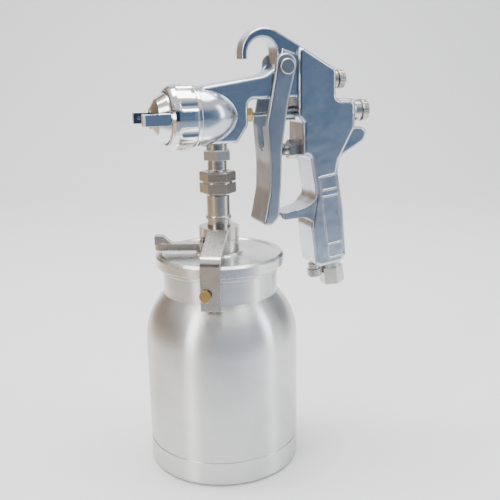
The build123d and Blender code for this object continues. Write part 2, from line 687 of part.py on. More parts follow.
# ---------------------------------------------------------------- paint cup
def cup():
    """The cup: straight side, round shoulder, neck and lip, open at the top."""
    inner_neck = NECK_R - CUP_WALL
    drop = NECK_Z - SHOULDER_Z
    outer_run = CUP_R - NECK_R
    shoulder_r = (outer_run ** 2 + drop ** 2) / (2 * outer_run)
    reach = math.asin(drop / shoulder_r) / 2
    out_mid = (CUP_R - shoulder_r * (1 - math.cos(reach)), SHOULDER_Z + shoulder_r * math.sin(reach))
    in_mid = (out_mid[0] - CUP_WALL * math.cos(reach), out_mid[1] - CUP_WALL * math.sin(reach))
    inner = CUP_R - CUP_WALL
    with BuildPart() as vessel:
        with BuildSketch(ACROSS):
            with BuildLine():
                Polyline(
                    (0, 0), (39.0, 0), (39.6, 0.8), (41.4, 0.8), (42.0, 0), (CUP_R - 2.0, 0), (CUP_R, 2.0),
                    (CUP_R, 16.8),
                    (CUP_R - 0.5, 17.2), (CUP_R - 0.5, 18.0), (CUP_R, 18.4), (CUP_R, SHOULDER_Z),
                )
                ThreePointArc((CUP_R, SHOULDER_Z), out_mid, (NECK_R, NECK_Z))
                Polyline(
                    (NECK_R, NECK_Z), (NECK_R, 136.6), (LIP_R - 0.3, 137.0), (LIP_R, 137.5),
                    (LIP_R, LIP_Z - 0.5),
                    (LIP_R - 0.5, LIP_Z), (inner_neck, LIP_Z), (inner_neck, NECK_Z),
                )
                ThreePointArc((inner_neck, NECK_Z), in_mid, (inner, SHOULDER_Z))
                Polyline((inner, SHOULDER_Z), (inner, 8.0), (inner - 5.0, CUP_FLOOR_Z),
                    (0, CUP_FLOOR_Z), (0, 0))
            make_face()
        revolve(axis=Axis.Z)
    return vessel.part


save(cup(), "cup")

STUD_R = 2.3
with BuildPart() as cup_studs:
    for turn in (YOKE_TURN, YOKE_TURN + 180):
        outward = Plane(
            origin=(0, 0, STUD_Z),
            x_dir=(math.cos(math.radians(turn)), math.sin(math.radians(turn)), 0),
            z_dir=(math.sin(math.radians(turn)), -math.cos(math.radians(turn)), 0),
        )
        with BuildSketch(outward.offset(NECK_R + 0.1)):
            Circle(4.2)
        extrude(amount=ARM_R - NECK_R - 1.0)
        with BuildSketch(outward.offset(NECK_R + 2)):
            Circle(STUD_R)
        extrude(amount=ARM_R + ARM_T - NECK_R - 0.6)
        with BuildSketch(outward.offset(ARM_R + ARM_T + 0.3)):
            Circle(3.85)
        extrude(amount=1.9)
save(cup_studs.part, "cup_studs")

with BuildPart() as lid:
    add(spun([
        (6.5 + FIT, 145.6), (35.0, 145.6), (36.2, 144.4), (36.2, 141.5), (LIP_R + 0.8, 141.5),
        (LIP_R + 0.8, 139.9),
        (LID_R - 0.6, 139.9), (LID_R, 140.5), (LID_R, 146.4), (LID_R - 1.6, LID_TOP_Z), (38.6, LID_TOP_Z),
        (37.4, LID_TOP_Z - 0.8), (16.6, LID_TOP_Z - 0.8), (15.8, LID_TOP_Z), (15.8, LID_TOP_Z + 0.9),
        (6.5 + FIT, LID_TOP_Z + 0.9),
    ]))
    with Locations((-24.0, 14.0, LID_TOP_Z)):
        Cylinder(1.2, 12.0, mode=Mode.SUBTRACT)
save(lid.part, "lid")

with BuildPart() as lid_gasket:
    add(spun([(36.9, LIP_Z + SEAT), (LIP_R - 0.2, LIP_Z + SEAT), (LIP_R - 0.2, 141.4), (36.9, 141.4)]))
save(lid_gasket.part, "lid_gasket")

TUBE_R = 4.0
with BuildPart() as stem:
    add(spun([
        (3.2, 141.0), (6.5, 141.0), (6.5, LID_TOP_Z + 1.0), (STEM_R, LID_TOP_Z + 1.0), (STEM_R, 170.2),
        (8.5, 170.5), (8.7, 171.0), (8.7, 172.4), (8.5, 172.9), (STEM_R, 173.2), (STEM_R, 186.4),
        (6.3, 187.0),
        (6.3, UNION_LOW_Z + 2.1), (8.15, UNION_LOW_Z + 2.1), (8.15, NIPPLE_END_Z - SEAT),
        (3.2, NIPPLE_END_Z - SEAT),
    ]))
    with Locations((0, 0, 140.0)):
        Cylinder(TUBE_R + 0.03, 8.0, align=(Align.CENTER, Align.CENTER, Align.MIN), mode=Mode.SUBTRACT)
save(stem.part, "stem")

with BuildPart() as stem_nut:
    with BuildSketch(Plane.XY.offset(141.8)):
        RegularPolygon(10.0, 6, major_radius=False)
        Circle(6.5 + FIT, mode=Mode.SUBTRACT)
    extrude(amount=3.7)
save(stem_nut.part, "stem_nut")

with BuildPart() as dip_tube:
    add(spun([(3.2, 8.0), (TUBE_R, 8.0), (TUBE_R, 147.8), (3.2, 147.8)]))
save(dip_tube.part, "dip_tube")


# ---------------------------------------------------------------- clamp and union nut
HUB_BORE_R = STEM_R + 0.35
CAM_LOW_Z = 154.4  # lowest point of the cam on the lower hub
SECTORS = 18  # flat facets of each half-turn ramp


def cam_ramps(above):
    """Two half-turn ramps: the space above the cam line, or the space below it.

    The upper hub stands as high as the turned lever has lifted it.
    """
    step = 180 / SECTORS
    lift = CAM_RISE * CAM_TURN / 180
    with BuildPart() as ramps:
        for half_turn in (0, 180):
            for sector in range(SECTORS):
                low = CAM_LOW_Z + CAM_RISE * (sector + above) / SECTORS + lift * above
                base = low if above else HUB_LOW_Z
                top = HUB_TOP_Z if above else low
                turn = half_turn + sector * step
                with BuildSketch(Plane.XY.offset(base)):
                    with BuildLine():
                        Polyline(
                            (0, 0),
                            (20 * math.cos(math.radians(turn)), 20 * math.sin(math.radians(turn))),
                            (20 * math.cos(math.radians(turn + step)),
                            20 * math.sin(math.radians(turn + step))),
                            close=True,
                        )
                    make_face()
                extrude(amount=top - base)
    return ramps.part


def hub(above):
    """One half of the cam hub: the yoke's above the cam line, the lever's below it."""
    low = CAM_LOW_Z if above else HUB_LOW_Z
    top = HUB_TOP_Z if above else CAM_LOW_Z + CAM_RISE
    with BuildPart() as half:
        add(spun([(HUB_BORE_R, low - 3), (HUB_R, low - 3), (HUB_R, top), (HUB_BORE_R, top)]))
        add(cam_ramps(above), mode=Mode.INTERSECT)
    return half.part


ARM_SHIFT = 3.0  # the arms sit beside the studs, which rest in their open slots
ARM_LOW_Z = 120.5
yoke_outline = [
    (-HUB_BORE_R, 163.4), (-20.0, 163.4), (-ARM_R + 1.0, 151.6), (-ARM_R, 149.6), (-ARM_R, ARM_LOW_Z),
    (-ARM_R - ARM_T, ARM_LOW_Z), (-ARM_R - ARM_T, 151.0), (-ARM_R - ARM_T + 2.0, 154.4), (-20.0, 166.6),
    (-HUB_BORE_R, 166.6),
]
with BuildPart() as yoke:
    add(Rot(0, 0, 90) * hub(True))
    for turn in (0, 180):
        arm_plane = Plane.YZ.rotated((0, 0, turn)).offset(ARM_SHIFT - ARM_W / 2)
        with BuildSketch(arm_plane):
            with BuildLine():
                FilletPolyline(yoke_outline, radius=[0, 6, 4, 3, 0, 0, 6, 7, 9, 0], close=True)
            make_face()
        extrude(amount=ARM_W)
    with Locations((0, 0, 140.0)):
        Cylinder(HUB_BORE_R, 60.0, mode=Mode.SUBTRACT)
    for turn in (0, 180):
        slot_plane = Plane.XZ.rotated((0, 0, turn)).offset(ARM_R - 2)
        with BuildSketch(slot_plane):
            with BuildLine():
                Polyline((-12.0, STUD_Z - 2.6), (0, STUD_Z - 2.6))
                ThreePointArc((0, STUD_Z - 2.6), (2.6, STUD_Z), (0, STUD_Z + 2.6))
                Polyline((0, STUD_Z + 2.6), (-12.0, STUD_Z + 2.6), (-12.0, STUD_Z - 2.6))
            make_face()
        extrude(amount=ARM_T + 4, mode=Mode.SUBTRACT)
save(Rot(0, 0, YOKE_TURN) * yoke.part, "yoke")

LEVER_LOW_Z, LEVER_TOP_Z = HUB_LOW_Z + 0.2, 154.0
with BuildPart() as cam_lever:
    add(Rot(0, 0, YOKE_TURN + 90 - LEVER_TURN - CAM_TURN) * hub(False))
    with BuildSketch(Plane.XY.offset(LEVER_LOW_Z)):
        with BuildLine():
            FilletPolyline((-9.0, -4.6), (-43.5, -3.2), (-43.5, 3.2), (-9.0, 4.6),
            radius=[0, 2.5, 2.5, 0], close=True)
        make_face()
    extrude(amount=LEVER_TOP_Z - LEVER_LOW_Z)
    with BuildSketch(Plane.XZ.offset(-3.2)):
        with BuildLine():
            Polyline((-43.5, 153.0), (-43.5, 159.4), (-38.0, 159.4), (-31.0, 153.0), close=True)
        make_face()
    extrude(amount=6.4)
    with Locations((0, 0, 150.0)):
        Cylinder(HUB_BORE_R, 30.0, mode=Mode.SUBTRACT)
save(Rot(0, 0, LEVER_TURN) * cam_lever.part, "cam_lever")

with BuildPart() as union_nut:
    with BuildSketch(Plane.XY.offset(UNION_LOW_Z)):
        RegularPolygon(UNION_AF / 2, 6, major_radius=False, rotation=-20)
    extrude(amount=UNION_TOP_Z - UNION_LOW_Z)
    for end in (0, -1):
        chamfer(union_nut.faces().sort_by(Axis.Z)[end].edges(), 0.9)
    add(spun([
        (9.9, 194.9), (13.0, 194.9), (13.0, 196.1), (9.9, 196.1),
    ]), mode=Mode.SUBTRACT)
    add(spun([
        (0, UNION_LOW_Z - 1), (6.3 + FIT, UNION_LOW_Z - 1), (6.3 + FIT, UNION_LOW_Z + 2.0),
        (THREAD_G38_R + 0.05, UNION_LOW_Z + 2.0), (THREAD_G38_R + 0.05, UNION_TOP_Z + 1),
        (0, UNION_TOP_Z + 1),
    ]), mode=Mode.SUBTRACT)
save(union_nut.part, "union_nut")
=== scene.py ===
import json
import math

import bpy
import numpy as np
from mathutils import Matrix, Vector


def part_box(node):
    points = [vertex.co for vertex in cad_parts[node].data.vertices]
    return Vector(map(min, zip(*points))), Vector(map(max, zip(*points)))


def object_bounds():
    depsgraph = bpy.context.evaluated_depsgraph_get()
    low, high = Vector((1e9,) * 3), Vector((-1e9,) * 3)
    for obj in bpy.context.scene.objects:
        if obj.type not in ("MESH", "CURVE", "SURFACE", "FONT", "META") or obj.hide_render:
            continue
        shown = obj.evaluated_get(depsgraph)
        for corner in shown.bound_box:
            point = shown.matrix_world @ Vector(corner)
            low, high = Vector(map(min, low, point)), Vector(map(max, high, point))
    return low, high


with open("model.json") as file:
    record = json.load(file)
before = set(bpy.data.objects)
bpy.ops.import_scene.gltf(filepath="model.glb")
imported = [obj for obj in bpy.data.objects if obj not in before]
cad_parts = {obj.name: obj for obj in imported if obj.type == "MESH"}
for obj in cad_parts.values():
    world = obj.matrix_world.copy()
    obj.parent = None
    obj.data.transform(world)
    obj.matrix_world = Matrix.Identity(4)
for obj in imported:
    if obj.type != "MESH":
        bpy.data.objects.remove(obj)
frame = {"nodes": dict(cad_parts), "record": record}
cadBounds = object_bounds()
print("frame loaded")

# places read from the frame
mm = 0.001
nodes = frame["nodes"]
joints = {joint["name"]: joint for joint in frame["record"]["behaviour"]["joints"]}
needleZ = joints["ring_spin"]["pos_m"][2]
patternZ = joints["pattern_spin"]["pos_m"][2]
airValveZ = sum(corner[2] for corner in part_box("air_valve_stem")) / 2
flowFoot = Vector(joints["flow_spin"]["pos_m"])
lowest, highest = (Vector(corner) for corner in cadBounds)

# numbers shared by the materials
bevelSamples = 4
waveDepth = 1.2 * mm  # full depth of each kind of bump
scratchDepth = 0.05 * mm
ringDepth = 0.06 * mm
acrossRings = 0.25  # a quarter turn of the anisotropy, so highlights run across the rings


# node helpers
def link(tree, source, target):
    tree.links.new(source, target)


# One shader node, with its properties set by name.
def node(tree, kind, **settings):
    made = tree.nodes.new("ShaderNode" + kind)
    for name, value in settings.items():
        setattr(made, name, value)
    return made


# A Math node whose operands are sockets or plain numbers.
def calc(tree, operation, *operands, clamp=False):
    made = node(tree, "Math", operation=operation, use_clamp=clamp)
    for index, value in enumerate(operands):
        if isinstance(value, bpy.types.NodeSocket):
            link(tree, value, made.inputs[index])
        else:
            made.inputs[index].default_value = value
    return made.outputs[0]


# An empty shader node group with typed sockets: inputs are (name, type, default).
def group(name, inputs, outputs):
    made = bpy.data.node_groups.new(name, "ShaderNodeTree")
    for label, kind, default in inputs:
        socket = made.interface.new_socket(label, in_out="INPUT", socket_type="NodeSocket" + kind)
        if default is not None:
            socket.default_value = default
    for label, kind in outputs:
        made.interface.new_socket(label, in_out="OUTPUT", socket_type="NodeSocket" + kind)
    return made, made.nodes.new("NodeGroupInput"), made.nodes.new("NodeGroupOutput")


# Fine rings cut on a lathe: noise that depends on radius and height, hardly on the angle.
def turnedGrainGroup():
    tree, start, end = group(
        "turnedGrain",
        [("Vector", "Vector", None), ("Density", "Float", 900.0), ("Sweep", "Float", 0.6)],
        [("Height", "Float"), ("Broad", "Float")],
    )
    parts = node(tree, "SeparateXYZ")
    link(tree, start.outputs["Vector"], parts.inputs[0])
    squared = calc(
        tree, "ADD",
        calc(tree, "MULTIPLY", parts.outputs["X"], parts.outputs["X"]),
        calc(tree, "MULTIPLY", parts.outputs["Y"], parts.outputs["Y"]),
    )
    radius = calc(tree, "SQRT", squared)
    angle = calc(tree, "ARCTAN2", parts.outputs["Y"], parts.outputs["X"])
    rings = node(tree, "CombineXYZ")
    link(tree, calc(tree, "MULTIPLY", radius, start.outputs["Density"]), rings.inputs[0])
    link(tree, calc(tree, "MULTIPLY", parts.outputs["Z"], start.outputs["Density"]), rings.inputs[1])
    link(tree, calc(tree, "MULTIPLY", angle, start.outputs["Sweep"]), rings.inputs[2])
    fine = node(tree, "TexNoise")
    fine.inputs["Scale"].default_value = 1.0
    fine.inputs["Detail"].default_value = 4.0
    link(tree, rings.outputs[0], fine.inputs["Vector"])
    broad = node(tree, "TexNoise")
    broad.inputs["Scale"].default_value = 0.06
    broad.inputs["Detail"].default_value = 2.0
    link(tree, rings.outputs[0], broad.inputs["Vector"])
    link(tree, fine.outputs["Fac"], end.inputs["Height"])
    link(tree, broad.outputs["Fac"], end.inputs["Broad"])
    return tree


# 1 on edges and corners, 0 on flats: gain * (1 - rounded normal . true normal), up to 1.
def edgeMaskGroup():
    tree, start, end = group(
        "edgeMask",
        [("Width", "Float", 0.6 * mm), ("Gain", "Float", 6.0)],
        [("Mask", "Float")],
    )
    bevel = node(tree, "Bevel", samples=bevelSamples)
    link(tree, start.outputs["Width"], bevel.inputs["Radius"])
    shape = node(tree, "NewGeometry")
    lean = node(tree, "VectorMath", operation="DOT_PRODUCT")
    link(tree, bevel.outputs[0], lean.inputs[0])
    link(tree, shape.outputs["Normal"], lean.inputs[1])
    away = calc(tree, "SUBTRACT", 1.0, lean.outputs["Value"])
    link(tree, calc(tree, "MULTIPLY", away, start.outputs["Gain"], clamp=True), end.inputs["Mask"])
    return tree


# Patchy marks of handling: a mask of broad smudges broken by finer specks.
def handlingGroup():
    tree, start, end = group(
        "handling",
        [("Vector", "Vector", None), ("Scale", "Float", 45.0)],
        [("Smudge", "Float"), ("Speck", "Float")],
    )
    for label, factor, low, high in (("Smudge", 1.0, 0.42, 0.72), ("Speck", 26.0, 0.62, 0.74)):
        noise = node(tree, "TexNoise")
        noise.inputs["Detail"].default_value = 5.0
        noise.inputs["Roughness"].default_value = 0.6
        link(tree, start.outputs["Vector"], noise.inputs["Vector"])
        link(tree, calc(tree, "MULTIPLY", start.outputs["Scale"], factor), noise.inputs["Scale"])
        limit = node(tree, "MapRange", interpolation_type="SMOOTHSTEP")
        limit.inputs["From Min"].default_value = low
        limit.inputs["From Max"].default_value = high
        link(tree, noise.outputs["Fac"], limit.inputs["Value"])
        link(tree, limit.outputs["Result"], end.inputs[label])
    return tree


# Skin of a polished casting: a slow waviness under fine buffing scratches along one way.
def castGrainGroup():
    tree, start, end = group(
        "castGrain",
        [
            ("Vector", "Vector", None), ("Wave", "Float", 60.0),
            ("Scratch", "Vector", (300.0, 300.0, 2600.0)),
        ],
        [("Wave", "Float"), ("Scratch", "Float")],
    )
    wave = node(tree, "TexNoise")
    wave.inputs["Detail"].default_value = 2.0
    link(tree, start.outputs["Vector"], wave.inputs["Vector"])
    link(tree, start.outputs["Wave"], wave.inputs["Scale"])
    stretch = node(tree, "VectorMath", operation="MULTIPLY")
    link(tree, start.outputs["Vector"], stretch.inputs[0])
    link(tree, start.outputs["Scratch"], stretch.inputs[1])
    scratch = node(tree, "TexNoise")
    scratch.inputs["Scale"].default_value = 1.0
    scratch.inputs["Detail"].default_value = 3.0
    link(tree, stretch.outputs[0], scratch.inputs["Vector"])
    link(tree, wave.outputs["Fac"], end.inputs["Wave"])
    link(tree, scratch.outputs["Fac"], end.inputs["Scratch"])
    return tree


turnedGrain = turnedGrainGroup()
edgeMask = edgeMaskGroup()
handling = handlingGroup()
castGrain = castGrainGroup()


# A node of a shared group, with its number sockets filled in.
def useGroup(tree, shared, **values):
    made = tree.nodes.new("ShaderNodeGroup")
    made.node_tree = shared
    for label, value in values.items():
        made.inputs[label].default_value = value
    return made


# An empty material with a Principled shader and object coordinates.
def newMaterial(name):
    material = bpy.data.materials.new(name)
    material.use_nodes = True
    tree = material.node_tree
    tree.nodes.clear()
    shader = node(tree, "BsdfPrincipled")
    output = node(tree, "OutputMaterial")
    link(tree, shader.outputs[0], output.inputs["Surface"])
    place = node(tree, "TexCoord")
    return material, tree, shader, place.outputs["Object"]


# Two colours mixed by a mask.
def mixed(tree, factor, first, second):
    made = node(tree, "Mix", data_type="RGBA")
    link(tree, factor, made.inputs["Factor"])
    for socket, value in ((made.inputs[6], first), (made.inputs[7], second)):
        if isinstance(value, bpy.types.NodeSocket):
            link(tree, value, socket)
        else:
            socket.default_value = (*value, 1.0)
    return made.outputs[2]


# A bump from a height, over the normal given.
def bumped(tree, height, strength, depth, normal=None):
    made = node(tree, "Bump")
    made.inputs["Strength"].default_value = strength
    made.inputs["Distance"].default_value = depth
    link(tree, height, made.inputs["Height"])
    if normal is not None:
        link(tree, normal, made.inputs["Normal"])
    return made.outputs[0]


# The surface normal with its hard edges rounded off.
def softened(tree, radius):
    made = node(tree, "Bevel", samples=bevelSamples)
    made.inputs["Radius"].default_value = radius
    return made.outputs[0]


# Object coordinates measured from an axis line, turned so that the axis is the third one.
def axisVector(tree, place, axis, origin):
    moved = node(tree, "VectorMath", operation="SUBTRACT")
    link(tree, place, moved.inputs[0])
    moved.inputs[1].default_value = origin
    if axis == "Z":
        return moved.outputs[0]
    parts = node(tree, "SeparateXYZ")
    link(tree, moved.outputs[0], parts.inputs[0])
    turned = node(tree, "CombineXYZ")
    for source, target in (("Y", 0), ("Z", 1), ("X", 2)):
        link(tree, parts.outputs[source], turned.inputs[target])
    return turned.outputs[0]


# materials
# Buffed cast metal: mirror-like but wavy, with fine scratches and brighter edges.
# Roughness = base + smudge share + scratch share.
def polishedCasting(name, look):
    material, tree, shader, place = newMaterial(name)
    grain = useGroup(tree, castGrain, Wave=look["wave"], Scratch=look["scratch"])
    marks = useGroup(tree, handling, Scale=look["marks"])
    edges = useGroup(tree, edgeMask, Width=look["edge"])
    for made in (grain, marks):
        link(tree, place, made.inputs["Vector"])
    worn = mixed(tree, marks.outputs["Smudge"], look["color"], look["dull"])
    link(tree, mixed(tree, edges.outputs["Mask"], worn, look["bright"]), shader.inputs["Base Color"])
    rough = calc(tree, "MULTIPLY_ADD", marks.outputs["Smudge"], look["smudge"], look["roughness"])
    scratchy = calc(tree, "MULTIPLY", grain.outputs["Scratch"], look["scratchRough"])
    link(tree, calc(tree, "ADD", rough, scratchy), shader.inputs["Roughness"])
    shader.inputs["Metallic"].default_value = 1.0
    smooth = softened(tree, look["edge"])
    wavy = bumped(tree, grain.outputs["Wave"], look["waveBump"], waveDepth, smooth)
    scratched = bumped(tree, grain.outputs["Scratch"], look["scratchBump"], scratchDepth, wavy)
    link(tree, scratched, shader.inputs["Normal"])
    return material


# Lathe-turned metal about an axis: fine rings, with duller bands and smudges.
# Roughness = base + ring share + smudge share.
def turnedMetal(name, look, axis="Z", origin=(0, 0, 0)):
    material, tree, shader, place = newMaterial(name)
    grain = useGroup(tree, turnedGrain, Density=look["density"], Sweep=look["sweep"])
    link(tree, axisVector(tree, place, axis, origin), grain.inputs["Vector"])
    marks = useGroup(tree, handling, Scale=look["marks"])
    link(tree, place, marks.inputs["Vector"])
    edges = useGroup(tree, edgeMask, Width=look["edge"])
    ringed = mixed(tree, grain.outputs["Broad"], look["color"], look["dull"])
    worn = mixed(tree, marks.outputs["Smudge"], ringed, look["dull"])
    link(tree, mixed(tree, edges.outputs["Mask"], worn, look["bright"]), shader.inputs["Base Color"])
    shader.inputs["Metallic"].default_value = 1.0
    shader.inputs["Anisotropic"].default_value = look["anisotropy"]
    if look["anisotropy"]:
        shader.inputs["Anisotropic Rotation"].default_value = acrossRings
        around = node(tree, "Tangent", direction_type="RADIAL", axis=axis)
        link(tree, around.outputs[0], shader.inputs["Tangent"])
    rough = calc(tree, "MULTIPLY_ADD", grain.outputs["Height"], look["ringRough"], look["roughness"])
    smudged = calc(tree, "MULTIPLY", marks.outputs["Smudge"], look["smudge"])
    link(tree, calc(tree, "ADD", rough, smudged), shader.inputs["Roughness"])
    smooth = softened(tree, look["edge"])
    grooved = bumped(tree, grain.outputs["Height"], look["ringBump"], ringDepth, smooth)
    link(tree, grooved, shader.inputs["Normal"])
    return material


# Moulded polymer or rubber with a faint mottle.
def plainPlastic(name, look):
    material, tree, shader, place = newMaterial(name)
    marks = useGroup(tree, handling, Scale=look["marks"])
    link(tree, place, marks.inputs["Vector"])
    mottled = mixed(tree, marks.outputs["Smudge"], look["color"], look["dull"])
    link(tree, mottled, shader.inputs["Base Color"])
    shader.inputs["Roughness"].default_value = look["roughness"]
    speckled = bumped(tree, marks.outputs["Speck"], look["speckBump"], scratchDepth)
    link(tree, speckled, shader.inputs["Normal"])
    return material


castLook = {
    "color": (0.60, 0.64, 0.70), "dull": (0.52, 0.56, 0.62), "bright": (0.86, 0.88, 0.92),
    "roughness": 0.14, "smudge": 0.07, "scratchRough": 0.10, "wave": 45.0, "waveBump": 0.75,
    "scratch": (260.0, 260.0, 2400.0), "scratchBump": 0.10, "marks": 40.0, "edge": 0.7 * mm,
}
triggerLook = dict(
    castLook, color=(0.46, 0.49, 0.54), dull=(0.40, 0.43, 0.48), roughness=0.24,
    scratchRough=0.14, scratch=(2600.0, 2600.0, 160.0), scratchBump=0.22,
)
chromeLook = {
    "color": (0.84, 0.85, 0.86), "dull": (0.78, 0.79, 0.81), "bright": (0.95, 0.95, 0.96),
    "roughness": 0.05, "smudge": 0.05, "ringRough": 0.03, "ringBump": 0.05,
    "density": 1200.0, "sweep": 0.5, "marks": 60.0, "edge": 0.35 * mm, "anisotropy": 0.0,
}
nickelLook = dict(
    chromeLook, color=(0.66, 0.63, 0.58), dull=(0.54, 0.51, 0.47), bright=(0.86, 0.83, 0.78),
    roughness=0.17, ringRough=0.12, ringBump=0.30, density=1800.0,
)
cupLook = {
    "color": (0.80, 0.80, 0.79), "dull": (0.68, 0.68, 0.67), "bright": (0.90, 0.90, 0.89),
    "roughness": 0.27, "smudge": 0.05, "ringRough": 0.10, "ringBump": 0.22,
    "density": 2600.0, "sweep": 1.1, "marks": 22.0, "edge": 0.4 * mm, "anisotropy": 0.95,
}
lidLook = dict(cupLook, color=(0.84, 0.84, 0.83), roughness=0.20, density=1600.0, anisotropy=0.8)
clampLook = dict(
    castLook, color=(0.58, 0.56, 0.52), dull=(0.44, 0.42, 0.38), bright=(0.85, 0.83, 0.79),
    roughness=0.20, scratch=(900.0, 900.0, 900.0), waveBump=0.14, edge=0.45 * mm, marks=70.0,
)
brassLook = dict(
    nickelLook, color=(0.66, 0.46, 0.18), dull=(0.46, 0.31, 0.13), bright=(0.86, 0.68, 0.36),
    roughness=0.22,
)
steelLook = dict(nickelLook, color=(0.55, 0.55, 0.54), dull=(0.45, 0.45, 0.44), bright=(0.8, 0.8, 0.8))
springLook = dict(clampLook, color=(0.30, 0.29, 0.28), dull=(0.20, 0.19, 0.18), bright=(0.6, 0.6, 0.6))
polymerLook = {
    "color": (0.80, 0.77, 0.70), "dull": (0.66, 0.62, 0.54), "roughness": 0.45,
    "marks": 90.0, "speckBump": 0.3,
}
rubberLook = {
    "color": (0.018, 0.018, 0.018), "dull": (0.04, 0.04, 0.04), "roughness": 0.6,
    "marks": 90.0, "speckBump": 0.3,
}

needleLine = (0, 0, needleZ)
casting = polishedCasting("gunCasting", castLook)
triggerMetal = polishedCasting("triggerMetal", triggerLook)
clampSteel = polishedCasting("clampSteel", clampLook)
springSteel = polishedCasting("springSteel", springLook)
headChrome = turnedMetal("headChrome", chromeLook, "X", needleLine)
needleNickel = turnedMetal("needleNickel", nickelLook, "X", needleLine)
patternNickel = turnedMetal("patternNickel", nickelLook, "X", (0, 0, patternZ))
valveNickel = turnedMetal("valveNickel", nickelLook, "X", (0, 0, airValveZ))
stemNickel = turnedMetal("stemNickel", nickelLook, "Z")
inletNickel = turnedMetal("inletNickel", nickelLook, "Z", (flowFoot.x, 0, 0))
cupAluminium = turnedMetal("cupAluminium", cupLook, "Z")
lidAluminium = turnedMetal("lidAluminium", lidLook, "Z")
brass = turnedMetal("brass", brassLook, "Z")
needleBrass = turnedMetal("needleBrass", brassLook, "X", needleLine)
needleSteel = turnedMetal("needleSteel", steelLook, "X", needleLine)
valveSteel = turnedMetal("valveSteel", steelLook, "X", (0, 0, airValveZ))
polymer = plainPlastic("polymer", polymerLook)
rubber = plainPlastic("rubber", rubberLook)

finishes = {
    casting: ["gun_body"],
    triggerMetal: ["trigger"],
    headChrome: ["head_ring", "air_cap", "retaining_ring"],
    needleNickel: ["fluid_knob_guide", "fluid_knob"],
    patternNickel: ["pattern_valve_guide", "pattern_knob"],
    valveNickel: ["air_valve_body"],
    stemNickel: ["fluid_nipple", "stem", "stem_nut", "union_nut", "trigger_pivot", "pivot_screw"],
    inletNickel: ["air_inlet", "flow_valve_guide", "flow_valve_screw"],
    cupAluminium: ["cup"],
    lidAluminium: ["lid"],
    clampSteel: ["yoke", "cam_lever"],
    springSteel: ["needle_spring", "air_valve_spring"],
    brass: ["cup_studs"],
    needleBrass: ["needle_packing_nut"],
    needleSteel: ["fluid_nozzle", "fluid_needle"],
    valveSteel: ["air_valve_stem", "dip_tube"],
    polymer: ["cap_washer", "needle_packing", "air_valve_seal", "lid_gasket"],
    rubber: ["fluid_knob_seal", "pattern_valve_seal"],
}
for material, names in finishes.items():
    for name in names:
        for place in nodes[name].material_slots:
            place.material = material
print("materials done")


# studio
# Faintly uneven paper, pale around the gun. It shades off to blue-grey in front of the gun
# and to tan on the left, each past a straight line on the floor. Along is the distance ahead
# of the origin, across the distance to its right; the left line is across + opening * along.
def paperMaterial(look, ahead):
    material, tree, shader, place = newMaterial("paper")
    noise = node(tree, "TexNoise")
    noise.inputs["Scale"].default_value = look["mottle"]
    link(tree, place, noise.inputs["Vector"])
    shade = tuple(value * look["mottleDepth"] for value in look["color"])
    shown = mixed(tree, noise.outputs["Fac"], look["color"], shade)
    shader.inputs["Roughness"].default_value = look["roughness"]
    parts = node(tree, "SeparateXYZ")
    link(tree, place, parts.inputs[0])
    along = calc(
        tree, "ADD",
        calc(tree, "MULTIPLY", parts.outputs["X"], ahead.x),
        calc(tree, "MULTIPLY", parts.outputs["Y"], ahead.y),
    )
    across = calc(
        tree, "SUBTRACT",
        calc(tree, "MULTIPLY", parts.outputs["X"], ahead.y),
        calc(tree, "MULTIPLY", parts.outputs["Y"], ahead.x),
    )
    leftEdge = calc(tree, "ADD", across, calc(tree, "MULTIPLY", along, look["opening"]))
    for source, edge in ((along, look["frontEdge"]), (leftEdge, look["leftEdge"])):
        limit = node(tree, "MapRange", interpolation_type="SMOOTHSTEP")
        limit.inputs["From Min"].default_value, limit.inputs["From Max"].default_value = edge["reach"]
        link(tree, source, limit.inputs["Value"])
        shown = mixed(tree, limit.outputs["Result"], shown, edge["color"])
    link(tree, shown, shader.inputs["Base Color"])
    return material


# Floor and back wall in one sheet: flat floor, a quarter circle, then a straight wall,
# laid across the viewing direction so that its edges stay out of sight.
def paperSweep(look, ahead, material):
    forward = Vector((ahead.x, ahead.y)).normalized()
    sideways = np.array((forward.y, -forward.x))
    forward = np.array(forward)
    bend = np.linspace(0.0, math.pi / 2, look["bendSteps"])
    back, radius = look["back"], look["bendRadius"]
    run = np.concatenate(([-look["front"]], back + radius * np.sin(bend), [back + radius]))
    rise = np.concatenate(([0.0], radius * (1.0 - np.cos(bend)), [look["height"]]))
    reach = np.array((-look["left"], look["right"]))
    flat = run[:, None, None] * forward + reach[None, :, None] * sideways
    heights = np.broadcast_to(rise[:, None, None], (*flat.shape[:2], 1))
    points = np.concatenate((flat, heights), axis=2).reshape(-1, 3)
    first = 2 * np.arange(len(run) - 1)
    faces = np.stack((first, first + 1, first + 3, first + 2), axis=1)
    mesh = bpy.data.meshes.new("paperSweep")
    mesh.from_pydata(points.tolist(), [], faces.tolist())
    mesh.materials.append(material)
    mesh.polygons.foreach_set("use_smooth", np.ones(len(faces), dtype=bool))
    sheet = bpy.data.objects.new("paperSweep", mesh)
    bpy.context.scene.collection.objects.link(sheet)


# A soft rectangular light that looks at a point.
def areaLight(name, look, target):
    lamp = bpy.data.lights.new(name, "AREA")
    lamp.shape = "RECTANGLE"
    lamp.size, lamp.size_y = look["size"]
    lamp.energy = look["power"]
    lamp.color = look["color"]
    holder = bpy.data.objects.new(name, lamp)
    holder.location = look["place"]
    holder.rotation_euler = (target - Vector(look["place"])).to_track_quat("-Z", "Y").to_euler()
    bpy.context.scene.collection.objects.link(holder)


